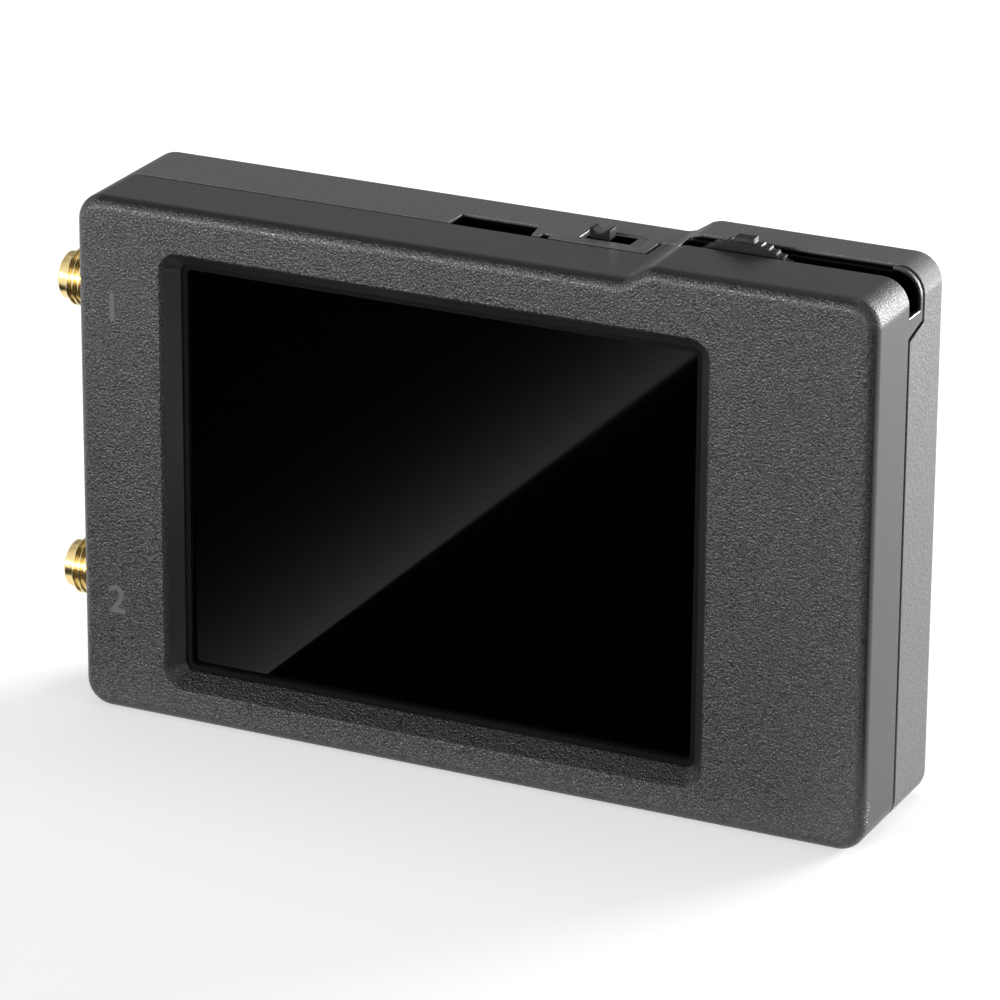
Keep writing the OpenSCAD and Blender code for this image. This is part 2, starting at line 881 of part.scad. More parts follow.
module clock_crystal() {
    x = shield_x1 + crystal_w + 0.3;
    color([0.8, 0.8, 0.78])
        slab(x, window_cz - 2, crystal_w, crystal_h, board_back, board_back + crystal_t, 0.4);
}

// Half outline of a port body: distance from the tip, radius
function thread_points(i) = let (s = tip_l + i * thread_pitch, root = thread_r - thread_depth) [
    [root, s + 0.02],
    [thread_r, s + flank_w],
    [thread_r, s + flank_w + crest_w],
    [root, s + 2 * flank_w + crest_w]
];

module port_body(z) {
    reach = port_flange_x - port_tip;
    chamfer = 0.2;
    root = thread_r - thread_depth;
    rings = [for (i = [0 : thread_turns - 1]) each thread_points(i)];
    color([0.88, 0.68, 0.28]) {
        difference() {
            union() {
                translate([port_tip, port_y, z])
                    rotate([0, 90, 0])
                        rotate_extrude()
                            polygon(concat(
                                [[0, 0], [tip_r - chamfer, 0], [tip_r, chamfer], [tip_r, tip_l]],
                                rings,
                                [[root, port_reach - 0.05], [barrel_r, port_reach + 0.05]],
                                [[barrel_r, reach + e], [0, reach + e]]
                            ));
                block(port_flange_x, board_x0, port_y - flange_w / 2, port_y + flange_w / 2,
                    z - flange_w / 2, z + flange_w / 2);
                for (s = [-1, 1])
                    for (y = [board_front - leg_w, board_back])
                        translate([board_x0 - e, y, z + s * (flange_w / 2 - leg_w / 2) - leg_w / 2])
                            cube([leg_l + e, leg_w, leg_w]);
            }
            left_rod(port_y, z, socket_r, port_tip + socket_l, port_tip - cut);
            left_rod(port_y, z, insulator_r + fit_gap, board_x0 + cut, port_tip);
        }
    }
}

module port_insulator(z) {
    color([0.95, 0.94, 0.90])
        difference() {
            left_rod(port_y, z, insulator_r, board_x0, port_tip + socket_l);
            left_rod(port_y, z, contact_r + fit_gap, board_x0 + cut, port_tip);
        }
}

module port_contact(z) {
    mouth = port_tip + socket_l;
    color([0.90, 0.72, 0.32])
        difference() {
            left_rod(port_y, z, contact_r, board_x0, mouth);
            left_rod(port_y, z, contact_bore, mouth + contact_depth, mouth - cut);
        }
}

module port_1_body() { port_body(port_heights[0]); }
module port_1_insulator() { port_insulator(port_heights[0]); }
module port_1_contact() { port_contact(port_heights[0]); }
module port_2_body() { port_body(port_heights[1]); }
module port_2_insulator() { port_insulator(port_heights[1]); }
module port_2_contact() { port_contact(port_heights[1]); }

// Upright tube with round ends, for the charging socket
module usb_form(w, t, y, z0, z1) {
    translate([usb_cx, y, z0])
        linear_extrude(z1 - z0)
            rounded_rect(w, t, min(usb_r, t / 2 - e));
}

module usb_shell() {
    y = board_back + usb_t / 2;
    z0 = usb_top - usb_l;
    color([0.80, 0.80, 0.80])
        difference() {
            usb_form(usb_w, usb_t, y, z0, usb_top);
            usb_form(usb_w - 2 * usb_sheet, usb_t - 2 * usb_sheet, y, z0 + 1, usb_top + cut);
        }
}

module usb_tongue() {
    y = board_back + usb_t / 2;
    color([0.08, 0.08, 0.08])
        block(usb_cx - tongue_w / 2, usb_cx + tongue_w / 2,
            y - tongue_t / 2, y + tongue_t / 2, usb_top - usb_l + 1, usb_top - 0.5);
}

module status_lights() {
    z1 = board_z1;
    color([0.85, 0.92, 0.85])
        for (i = [0, 1]) {
            z = z1 - i * light_pitch;
            block(light_cx - light_l / 2, light_cx + light_l / 2,
                board_back, board_back + light_t, z - light_h, z);
        }
}

module switch_base() {
    x0 = body_cx - switch_body_w / 2;
    x1 = body_cx + switch_body_w / 2;
    color([0.12, 0.12, 0.12])
        block(x0, x1, board_back, body_y0, body_z0, body_z1);
}

module switch_frame() {
    s = switch_sheet;
    x0 = body_cx - switch_body_w / 2;
    x1 = body_cx + switch_body_w / 2;
    gap = slider_clear;
    color([0.72, 0.72, 0.72])
        difference() {
            block(x0, x1, body_y0, body_y1, body_z0, body_z1);
            block(x0 + s, x1 - s, body_y0 - cut, body_y1 - s, body_z0 + s, body_z1 - s);
            block(knob_x0 - gap, knob_x0 + knob_w + switch_travel + gap,
                knob_y0 - gap, knob_y0 + knob_d + gap, body_z1 - 2 * s, body_z1 + cut);
        }
}

module switch_terminals() {
    pin_w = 0.5;
    color([0.85, 0.80, 0.60])
        for (i = [-1 : 1]) {
            x = body_cx + i * switch_pin;
            block(x - pin_w / 2, x + pin_w / 2,
                board_back, board_back + 0.3, body_z0 - 1.4, body_z0);
        }
}

module switch_knob() {
    s = switch_sheet;
    gap = slider_clear;
    top = low_h + knob_proud;
    color([0.07, 0.07, 0.07])
        difference() {
            union() {
                block(knob_x0, knob_x0 + knob_w, knob_y0, knob_y0 + knob_d, body_z1 - 1, top);
                block(knob_cx - slider_w / 2, knob_cx + slider_w / 2, body_y0 + gap,
                    body_y1 - s - gap, body_z0 + s + gap, body_z1 - s - gap);
            }
            translate([knob_cx, knob_y0 - cut, top])
                rotate([-90, 0, 0])
                    linear_extrude(knob_d + 2 * cut)
                        polygon([
                            [-knob_w * 0.36, -cut], [knob_w * 0.36, -cut],
                            [knob_w * 0.36, 0], [0, knob_notch], [-knob_w * 0.36, 0]
                        ]);
        }
}

module jog_base() {
    x0 = wheel_cx - jog_w / 2;
    x1 = wheel_cx + jog_w / 2;
    guide = plate_w / 2 + jog_clear;
    color([0.10, 0.10, 0.10]) {
        difference() {
            block(x0, x1, board_back, jog_y1, jog_z0, jog_top);
            block(x0 + jog_wall, x1 - jog_wall, jog_floor_y, jog_y1 + cut,
                jog_z0 + jog_wall, jog_top + cut);
        }
        for (s = [-1, 1])
            block(
                wheel_cx + s * (guide + jog_wall / 2) - jog_wall / 2,
                wheel_cx + s * (guide + jog_wall / 2) + jog_wall / 2,
                jog_floor_y - e, plate_y1,
                jog_z0 + jog_wall - e, wheel_cz + plate_high
            );
    }
}

module jog_cover() {
    x0 = wheel_cx - jog_w / 2;
    x1 = wheel_cx + jog_w / 2;
    color([0.75, 0.75, 0.75])
        block(x0, x1, jog_y1, jog_y1 + jog_sheet, jog_z0, jog_top - 0.6);
}

module jog_terminals() {
    pin_w = 0.6;
    color([0.85, 0.80, 0.60])
        for (i = [-2 : 2]) {
            x = wheel_cx + i * jog_pin;
            block(x - pin_w / 2, x + pin_w / 2,
                board_back, board_back + 0.3, jog_z0 - 1.2, jog_z0);
        }
}

module jog_carriage() {
    half = plate_w / 2;
    z0 = wheel_cz - plate_low;
    color([0.90, 0.90, 0.86]) {
        block(wheel_cx - half, wheel_cx + half, plate_y0, plate_y1, z0, wheel_cz + plate_high);
        block(wheel_cx - foot_w / 2, wheel_cx + foot_w / 2, plate_y0, rim_y1, z0, z0 + foot_h);
        post(wheel_cx, wheel_cz, axle_r, plate_y0, axle_y1);
    }
}

// Wedge of the wheel about its axis, from the hub out past the rim
module wheel_wedge(half, y0, y1) {
    far = wheel_r + 2;
    translate([wheel_cx, y1, wheel_cz])
        rotate([90, 0, 0])
            linear_extrude(y1 - y0)
                polygon([
                    [0, 0],
                    [far * sin(half), far * cos(half)],
                    [0, far / cos(half / 2)],
                    [-far * sin(half), far * cos(half)]
                ]);
}

// One tooth of the rim at the angle a
module wheel_tooth(a) {
    w = wheel_r * sin(tooth_step) * 0.6;
    translate([wheel_cx, rim_y1, wheel_cz])
        rotate([90, a, 0])
            translate([0, wheel_r - 0.08, 0])
                linear_extrude(rim_w - tooth_back)
                    polygon([[-w / 2, 0], [w / 2, 0], [w / 4, tooth_h], [-w / 4, tooth_h]]);
}

module jog_wheel() {
    inner = wheel_r - rim_h;
    lug_half = asin(lug_w / 2 / wheel_r);
    teeth = floor((wheel_half - lug_half - 1) / tooth_step);
    color([0.09, 0.09, 0.09])
        difference() {
            union() {
                intersection() {
                    post(wheel_cx, wheel_cz, wheel_r, rim_y0, rim_y1);
                    union() {
                        difference() {
                            wheel_wedge(wheel_half, rim_y0, rim_y1);
                            post(wheel_cx, wheel_cz, inner, rim_y0 - cut, rim_y1 + cut);
                        }
                        wheel_wedge(wheel_half, web_y0, rim_y1);
                    }
                }
                post(wheel_cx, wheel_cz, hub_r, web_y0, rim_y1);
                block(wheel_cx - lug_w / 2, wheel_cx + lug_w / 2, rim_y0 + tooth_back, rim_y1,
                    wheel_cz + wheel_r - 0.3, wheel_cz + wheel_r + lug_h);
                for (s = [-1, 1])
                    for (i = [1 : teeth])
                        wheel_tooth(s * (lug_half + tooth_step * (i - 0.25)));
            }
            post(wheel_cx, wheel_cz, axle_r + axle_clear, web_y0 - cut, rim_y1 + cut);
        }
}

// Point on a helix about Z: radius, climb per turn, turn number
function helix_point(r, climb, t) = [r * cos(360 * t), r * sin(360 * t), climb * t];

// Ring of a six-sided tube around a helix
function helix_ring(r, climb, t, wire) = [
    for (k = [0 : 5])
        let (a = 60 * k, q = r + wire * cos(a))
        helix_point(q, climb, t) + [0, 0, wire * sin(a)]
];

// Coil of round wire about the Z direction
module coil(r, wire, climb, turns) {
    steps = 16 * turns;
    sides = 6;
    points = [for (i = [0 : steps]) each helix_ring(r, climb, i / 16, wire)];
    faces = [
        for (i = [0 : steps - 1])
            for (k = [0 : sides - 1])
                let (a = i * sides + k, b = i * sides + (k + 1) % sides)
                each [[a, a + sides, b], [b, a + sides, b + sides]]
    ];
    start = [for (k = [1 : sides - 2]) [0, k, k + 1]];
    last = steps * sides;
    end = [for (k = [1 : sides - 2]) [last, last + k + 1, last + k]];
    polyhedron(points, concat(faces, start, end));
}

module jog_push_spring() {
    climb = (push_room - 2 * push_wire - 2 * e) / push_turns;
    color([0.80, 0.80, 0.78])
        translate([wheel_cx, (plate_y0 + rim_y1) / 2, jog_z0 + jog_wall + push_wire + e])
            coil(push_spring_r, push_wire, climb, push_turns);
}

module jog_turn_spring() {
    room = axle_y1 - rim_y1;
    color([0.80, 0.80, 0.78])
        translate([wheel_cx, rim_y1 + room - turn_wire - e, wheel_cz])
            rotate([90, 0, 0])
                coil(turn_spring_r, turn_wire, room - 2 * turn_wire - 3 * e, turn_turns);
}

module battery_cell() {
    cx = battery_x0 + battery_w / 2;
    cz = battery_z + battery_h / 2;
    color([0.70, 0.71, 0.73])
        slab(cx, cz, battery_w, battery_h, battery_y, pad_y, battery_r);
}

module battery_pad() {
    margin = 6;
    color([0.90, 0.90, 0.88])
        slab(battery_x0 + battery_w / 2, battery_z + battery_h / 2,
            battery_w - 2 * margin, battery_h - 2 * margin, pad_y, back_y, 0.5);
}

module battery_guard() {
    cz = battery_z + battery_h / 2;
    color([0.80, 0.62, 0.15])
        block(battery_x1, battery_x1 + guard_w, guard_y - guard_t / 2, guard_y + guard_t / 2,
            cz - guard_h / 2, cz + guard_h / 2);
}

module battery_plug() {
    color([0.93, 0.92, 0.86])
        block(plug_x0, plug_x0 + plug_l, plug_y, plug_y + plug_t,
            plug_z - plug_w / 2, plug_z + plug_w / 2);
}

module battery_jack() {
    w = jack_wall;
    g = jog_clear;
    x1 = plug_x0 + plug_l + g + w;
    color([0.93, 0.92, 0.86])
        difference() {
            block(x1 - jack_l / 2 - w, x1, board_back, plug_y + plug_t + g + w,
                plug_z - plug_w / 2 - g - w, plug_z + plug_w / 2 + g + w);
            block(x1 - jack_l, x1 - w, plug_y - g, plug_y + plug_t + g,
                plug_z - plug_w / 2 - g, plug_z + plug_w / 2 + g);
        }
}

// Short lead from the protection board to the plug
module battery_lead(z) {
    left_rod(guard_y, z, lead_r, plug_x0, battery_x1 + guard_w);
}

module battery_lead_red() {
    color([0.75, 0.08, 0.06])
        battery_lead(plug_z + plug_w / 4);
}

module battery_lead_black() {
    color([0.06, 0.06, 0.06])
        battery_lead(plug_z - plug_w / 4);
}

front_shell();
rear_shell();
case_screws();
screen_gasket();
touch_panel();
lcd_panel();
light_guide();
screen_tray();
screen_ribbon();
screen_tape();
main_board();
shield_frame();
shield_lid();
board_chips();
board_parts();
clock_crystal();
port_1_body();
port_1_insulator();
port_1_contact();
port_2_body();
port_2_insulator();
port_2_contact();
usb_shell();
usb_tongue();
status_lights();
switch_base();
switch_frame();
switch_terminals();
switch_knob();
jog_base();
jog_cover();
jog_terminals();
jog_carriage();
jog_wheel();
jog_push_spring();
jog_turn_spring();
battery_cell();
battery_pad();
battery_guard();
battery_plug();
battery_jack();
battery_lead_red();
battery_lead_black();
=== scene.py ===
"""Looks of a pocket antenna analyzer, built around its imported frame."""

import math

import bpy
from mathutils import Matrix, Vector


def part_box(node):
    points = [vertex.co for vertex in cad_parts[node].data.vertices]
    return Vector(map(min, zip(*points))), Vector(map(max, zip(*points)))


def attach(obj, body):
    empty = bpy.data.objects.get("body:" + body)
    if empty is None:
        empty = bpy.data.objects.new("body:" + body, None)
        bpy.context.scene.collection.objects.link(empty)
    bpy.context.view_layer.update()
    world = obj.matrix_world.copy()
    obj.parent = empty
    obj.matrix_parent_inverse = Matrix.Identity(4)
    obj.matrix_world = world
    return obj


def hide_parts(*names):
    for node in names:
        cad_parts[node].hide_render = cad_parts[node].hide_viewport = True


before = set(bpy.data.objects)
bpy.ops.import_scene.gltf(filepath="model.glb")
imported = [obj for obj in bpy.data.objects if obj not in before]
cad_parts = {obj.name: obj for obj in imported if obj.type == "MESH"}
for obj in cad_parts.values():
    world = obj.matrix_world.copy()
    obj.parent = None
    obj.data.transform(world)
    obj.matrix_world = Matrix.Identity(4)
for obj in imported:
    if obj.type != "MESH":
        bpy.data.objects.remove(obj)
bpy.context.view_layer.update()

bl_info = {
    "name": "Pocket Antenna Analyzer",
    "version": (1, 0, 0),
    "blender": (4, 5, 0),
    "location": "View3D > Sidebar > Analyzer",
    "description": "Finishes, printed marks and studio for a pocket antenna analyzer",
    "category": "Object",
}

MM = 0.001


# ---------------------------------------------------------------- modelling helpers

# Angles in degrees between faces: joined as flat, sharp on a piece, a shell or a thread.
FLAT_ANGLE = 0.6
CREASE = 34
SHELL_CREASE = 20
THREAD_CREASE = 30
# Points of a CAD mesh closer than this, in metres, become one.
MERGE_GAP = 2e-7


def deselect():
    bpy.ops.object.select_all(action="DESELECT")


def pick(obj):
    """Makes obj the only selected object and the active one."""
    deselect()
    obj.select_set(True)
    bpy.context.view_layer.objects.active = obj


def freeze(obj, name):
    """Names obj and puts its place, turn and scale into its mesh."""
    pick(obj)
    bpy.ops.object.transform_apply(location=True, rotation=True, scale=True)
    obj.name = name
    obj.data.name = name
    return obj


def use_modifier(obj, kind, **settings):
    """Adds a modifier with these settings to obj and applies it."""
    pick(obj)
    modifier = obj.modifiers.new(kind.title(), kind)
    for key, value in settings.items():
        setattr(modifier, key, value)
    bpy.ops.object.modifier_apply(modifier=modifier.name)


def traced(node, name):
    """A merged copy of a CAD node's mesh, as the start of the piece that stands for it."""
    obj = bpy.data.objects.new(name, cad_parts[node].data.copy())
    bpy.context.scene.collection.objects.link(obj)
    obj.data.materials.clear()
    pick(obj)
    bpy.ops.mesh.customdata_custom_splitnormals_clear()
    bpy.ops.object.mode_set(mode="EDIT")
    bpy.ops.mesh.select_all(action="SELECT")
    bpy.ops.mesh.remove_doubles(threshold=MERGE_GAP)
    bpy.ops.mesh.dissolve_limited(angle_limit=math.radians(FLAT_ANGLE))
    bpy.ops.object.mode_set(mode="OBJECT")
    return obj


def eased(node, name, width, angle=CREASE, soft=CREASE):
    """A copy of a CAD node with its sharp edges rounded off by width millimetres."""
    obj = traced(node, name)
    use_modifier(
        obj,
        "BEVEL",
        width=width * MM,
        segments=2,
        limit_method="ANGLE",
        angle_limit=math.radians(angle),
        use_clamp_overlap=False,
        miter_outer="MITER_ARC",
    )
    even(obj, soft)
    return obj


def even(obj, degrees):
    """Smooth shading in which the large flat faces keep their own direction."""
    pick(obj)
    bpy.ops.object.shade_smooth_by_angle(angle=math.radians(degrees))
    use_modifier(obj, "WEIGHTED_NORMAL", keep_sharp=True, weight=100)


def block(name, low, high):
    """A box between two corners in millimetres, as a start for a piece."""
    deselect()
    low, high = Vector(low) * MM, Vector(high) * MM
    bpy.ops.mesh.primitive_cube_add(size=1, location=(low + high) / 2)
    obj = bpy.context.object
    obj.scale = high - low
    return freeze(obj, name)


def settle(obj, body, slot, material, *replaced):
    """Gives a piece its material and its body, and hides the CAD nodes that it stands for. The
    slot is not used.
    """
    obj.data.materials.clear()
    obj.data.materials.append(material)
    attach(obj, body)
    if replaced:
        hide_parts(*replaced)


# ---------------------------------------------------------------- shader maths


class Wire:
    """An output socket of a shader node, with the arithmetic that the finishes use."""

    def __init__(self, finish, socket):
        self.finish = finish
        self.socket = socket

    def math(self, operation, *others, clamp=False):
        values = dict(enumerate([self, *others]))
        settings = {"operation": operation, "use_clamp": clamp}
        return self.finish.node("ShaderNodeMath", settings, values)

    def __add__(self, other):
        return self.math("ADD", other)

    __radd__ = __add__

    def __mul__(self, other):
        return self.math("MULTIPLY", other)

    def __sub__(self, other):
        return self.math("SUBTRACT", other)

    def __rsub__(self, other):
        settings = {"operation": "SUBTRACT"}
        return self.finish.node("ShaderNodeMath", settings, {0: other, 1: self})

    def __truediv__(self, other):
        return self.math("DIVIDE", other)

    def __pow__(self, other):
        return self.math("POWER", other)

    def above(self, other):
        return self.math("GREATER_THAN", other)

    def below(self, other):
        return self.math("LESS_THAN", other)

    def clamped(self):
        return self.math("ADD", 0.0, clamp=True)

    def ramp(self, low, high, start=0.0, end=1.0):
        """Smooth step of the value from low..high to start..end."""
        settings = {"interpolation_type": "SMOOTHSTEP"}
        values = {0: self, 1: low, 2: high, 3: start, 4: end}
        return self.finish.node("ShaderNodeMapRange", settings, values)


class Finish:
    """The node tree of a material or world while it is being built."""

    def __init__(self, owner):
        owner.use_nodes = True
        self.owner = owner
        self.tree = owner.node_tree
        self.tree.nodes.clear()

    def node(self, kind, settings=None, inputs=None, output=0):
        """Adds a node: its settings are set first, and then its sockets get values or links."""
        made = self.tree.nodes.new(kind)
        for key, value in (settings or {}).items():
            setattr(made, key, value)
        for key, value in (inputs or {}).items():
            if isinstance(value, Wire):
                self.tree.links.new(value.socket, made.inputs[key])
            else:
                made.inputs[key].default_value = value
        return Wire(self, made.outputs[output]) if made.outputs else None

    def place(self, stretch=(1, 1, 1)):
        """Object coordinates in millimetres, stretched along the three axes."""
        spot = self.node("ShaderNodeTexCoord", output="Object")
        scale = [1000 * s for s in stretch]
        return self.node(
            "ShaderNodeVectorMath", {"operation": "MULTIPLY"}, {0: spot, 1: scale}
        )

    def axes(self, spot):
        """The three numbers of a place."""
        return [
            self.node("ShaderNodeSeparateXYZ", None, {0: spot}, i) for i in range(3)
        ]

    def noise(self, spot, scale, detail=2.0, rough=0.5, warp=0.0):
        values = {
            "Vector": spot,
            "Scale": scale,
            "Detail": detail,
            "Roughness": rough,
            "Distortion": warp,
        }
        return self.node("ShaderNodeTexNoise", None, values)

    def cells(self, spot, scale):
        values = {"Vector": spot, "Scale": scale, "Smoothness": 0.3}
        return self.node("ShaderNodeTexVoronoi", {"feature": "SMOOTH_F1"}, values)

    def blend(self, first, second, share):
        """A colour between two colours."""
        values = {0: share, 6: colour4(first), 7: colour4(second)}
        return self.node("ShaderNodeMix", {"data_type": "RGBA"}, values, 2)

    def bump(self, height, depth):
        """A surface direction from a height of 0..1 that stands for depth millimetres."""
        values = {"Height": height, "Distance": depth * MM, "Strength": 1.0}
        return self.node("ShaderNodeBump", None, values)

    def surface(self, **inputs):
        """Ends the tree in a Principled shader with these sockets."""
        named = {key.replace("_", " "): value for key, value in inputs.items()}
        shader = self.node("ShaderNodeBsdfPrincipled", None, named)
        self.node("ShaderNodeOutputMaterial", None, {"Surface": shader})
        return self.owner


def colour4(value):
    if isinstance(value, Wire):
        return value
    return (*tuple(value)[:3], 1.0)


def lighter(colour, factor):
    return tuple(min(1.0, c * factor) for c in tuple(colour)[:3])


def new_finish(name):
    return Finish(bpy.data.materials.new(name))


# ---------------------------------------------------------------- finishes

# The case in the CAD frame, in millimetres: its two heights, its corners, and the ramp between.
SHELL_HIGH = Vector(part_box("front_shell")[1]) / MM
CASE_HALF = SHELL_HIGH.x
HIGH_TOP = SHELL_HIGH.z
LOW_TOP = HIGH_TOP - 1.7
CORNER = 3.0
RAMP_X = (17.6, 21.3)

# Where the front face and the sill under the window take the bold grain. The sill has no limit
# in x, so the outer sides of the shell show the bold grain too, low at the front.
FACE_EDGE = -8.55
FACE_FADE = 0.35
SILL_TOP = 5.8
SILL_FADE = 0.6
SILL_DEEP = -7.0
# Where the flat of the face begins, and how much paler it is painted than its fillets, bevels
# and top: painted light on the lit face.
LIFT_EDGE = -8.9
LIFT_FADE = 0.22
FACE_PAINTED_LIGHT = 1.7
# Where the corner beside the jog wheel takes the bold grain.
SPECKLE_X = (CASE_HALF - CORNER, CASE_HALF - 1.6)
SPECKLE_Z = (HIGH_TOP - CORNER - 0.6, HIGH_TOP - 1.8)

# How deep under the outer faces a wall counts as inside, and between which faces, for the
# painted shade of the inside walls.
WALL_DEPTH = (0.12, 0.45)
FRONT_INSIDE = (-7.1, -7.0)
REAR_INSIDE = (8.2, 8.4)
# Painted shade: the near black, metal-like tint that the walls inside the case, its openings
# and its seam take.
PAINTED_SHADE_TINT = (0.003, 0.003, 0.003)
INSIDE_SHADE_ROUGH = 0.3
SPECKLE_ROUGH = 0.3

# Depths of the smaller reliefs, in millimetres.
SCUFF_DEPTH = 0.006
MARKS_DEPTH = 0.003
RING_DEPTH = 0.006
CREASE_DEPTH = 0.25
COPPER_THICK = 0.03
LINE_THICK = 0.01


def hidden_share(x, y, z):
    """1 on the walls inside the case and its openings, which get painted shade, and 0 on the
    outer faces.
    """
    half = x.ramp(*RAMP_X, LOW_TOP / 2, HIGH_TOP / 2)
    across = x.math("ABSOLUTE") - (CASE_HALF - CORNER)
    up = (z - half).math("ABSOLUTE") - (half - CORNER)
    past = (
        across.math("MAXIMUM", 0.0) ** 2 + up.math("MAXIMUM", 0.0) ** 2
    ).math("SQRT")
    within = across.math("MAXIMUM", up).math("MINIMUM", 0.0)
    depth = CORNER - past - within
    between = y.ramp(*FRONT_INSIDE) * y.ramp(*REAR_INSIDE, 1.0, 0.0)
    return depth.ramp(*WALL_DEPTH) * between


def speckled_corner(x, z):
    """1 on the rounded corner beside the jog wheel, where the grain is bolder."""
    return x.ramp(*SPECKLE_X) * z.ramp(*SPECKLE_Z)


def grained_plastic(name, colour, grain, depth, rough, gloss):
    """Moulded plastic with a spark-eroded grain of the given size and depth in millimetres, and
    painted shade on the walls inside.
    """
    finish = new_finish(name)
    spot = finish.place()
    x, y, z = finish.axes(spot)
    inside_shade = hidden_share(x, y, z)
    pebbles = finish.noise(spot, 1 / grain, 2, 0.6, 0.3).ramp(0.3, 0.7)
    fine = finish.noise(spot, 3.1 / grain, 2, 0.6)
    cloud = finish.noise(spot, 0.05, 2, 0.5)
    tone = pebbles * 0.5 + fine * 0.3 + cloud * 0.2
    shade = finish.blend(lighter(colour, 0.62), lighter(colour, 1.38), tone.clamped())
    # Painted shade: the walls inside the case and its openings go near black and metal-like.
    shade = finish.blend(shade, PAINTED_SHADE_TINT, inside_shade)
    corner = speckled_corner(x, z)
    dulled = inside_shade * INSIDE_SHADE_ROUGH + corner * SPECKLE_ROUGH
    roughness = fine * 0.12 + (rough - 0.06) + dulled
    return finish.surface(
        Base_Color=shade,
        Roughness=roughness,
        Metallic=inside_shade,
        Specular_IOR_Level=gloss,
        Normal=finish.bump(pebbles * 0.7 + fine * 0.3, depth),
    )


def front_plastic(name, colour, grain, depth, rough, gloss):
    """Moulded plastic with a bold worm-like grain on the face, and a fine one elsewhere, with
    painted light on the face and painted shade inside.
    """
    finish = new_finish(name)
    spot = finish.place()
    x, y, z = finish.axes(spot)
    inside_shade = hidden_share(x, y, z)
    face = y.ramp(FACE_EDGE - FACE_FADE, FACE_EDGE, 1.0, 0.0)
    sill = z.ramp(SILL_TOP, SILL_TOP + SILL_FADE, 1.0, 0.0) * y.below(SILL_DEEP)
    corner = speckled_corner(x, z)
    bold = (face + sill + corner * 0.6).clamped()
    # Painted light: 1 on the flat of the face, which is painted paler than the rest.
    flat = y.ramp(LIFT_EDGE - LIFT_FADE, LIFT_EDGE, 1.0, 0.0)
    worms = finish.noise(spot, 1 / grain, 2, 0.55, 0.4).ramp(0.32, 0.68)
    fine = finish.noise(spot, 2.6, 3, 0.65)
    cloud = finish.noise(spot, 0.05, 2, 0.5)
    plain = fine * 0.3 + 0.35
    height = plain + (worms - plain) * bold
    # Grain tone that is also a painted highlight and shade: the bold grain is lighter on its
    # worm tops and darker in its grooves.
    tone = fine * 0.5 + cloud * 0.2 + 0.15 + (worms - 0.5) * bold * 0.95
    # Painted light: the flat of the face is paler than its fillets, bevels and top, where shade
    # falls.
    base = finish.blend(colour, lighter(colour, FACE_PAINTED_LIGHT), flat)
    shade = finish.blend((0, 0, 0), base, tone.clamped() * 0.9 + 0.1)
    # Painted shade: the walls inside the case and its openings go near black and metal-like.
    shade = finish.blend(shade, PAINTED_SHADE_TINT, inside_shade)
    dulled = inside_shade * INSIDE_SHADE_ROUGH + corner * SPECKLE_ROUGH - worms * bold * 0.12
    roughness = fine * 0.1 + (rough - 0.05) + dulled
    return finish.surface(
        Base_Color=shade,
        Roughness=roughness,
        Metallic=inside_shade,
        Specular_IOR_Level=gloss,
        Normal=finish.bump(height, depth),
    )


def smooth_plastic(name, colour, rough, gloss=0.5):
    """Hard plastic with faint flow marks and fine scuffs."""
    finish = new_finish(name)
    spot = finish.place()
    cloud = finish.noise(spot, 0.35, 3, 0.55)
    fine = finish.noise(spot, 7.0, 3, 0.6)
    shade = finish.blend(lighter(colour, 0.8), lighter(colour, 1.25), cloud)
    roughness = fine * 0.14 + cloud * 0.08 + (rough - 0.1)
    return finish.surface(
        Base_Color=shade,
        Roughness=roughness,
        Specular_IOR_Level=gloss,
        Normal=finish.bump(fine, SCUFF_DEPTH),
    )


def metal(name, colour, rough, stretch=(1, 1, 1)):
    """Plated or drawn metal with marks that run along the stretched axis."""
    finish = new_finish(name)
    marks = finish.noise(finish.place(stretch), 6.0, 4, 0.6)
    cloud = finish.noise(finish.place(), 0.5, 3, 0.55)
    shade = finish.blend(colour, lighter(colour, 0.8), cloud)
    roughness = marks * 0.14 + cloud * 0.08 + (rough - 0.1)
    return finish.surface(
        Base_Color=shade,
        Roughness=roughness,
        Metallic=1.0,
        Normal=finish.bump(marks, MARKS_DEPTH),
    )


def black_glass(name, colour, rough):
    """Glass with a black back, and traces of wiping in its gloss."""
    finish = new_finish(name)
    spot = finish.place((1, 1, 0.4))
    wipes = finish.noise(spot, 0.12, 4, 0.6, 0.6)
    dust = finish.noise(finish.place(), 9.0, 2, 0.5).ramp(0.72, 0.8)
    shade = finish.blend(colour, lighter(colour, 2.2), dust)
    roughness = wipes * 0.02 + dust * 0.02 + rough
    return finish.surface(Base_Color=shade, Roughness=roughness, Specular_IOR_Level=0.5)


def foam(name, colour, cell):
    """Closed foam with small cells."""
    finish = new_finish(name)
    spot = finish.place()
    cells = finish.cells(spot, 1 / cell)
    tone = finish.noise(spot, 0.8, 3, 0.5)
    shade = finish.blend(lighter(colour, 0.7), lighter(colour, 1.2), tone)
    return finish.surface(
        Base_Color=shade,
        Roughness=cells * 0.1 + 0.8,
        Specular_IOR_Level=0.15,
        Normal=finish.bump(cells, cell * 0.2),
    )


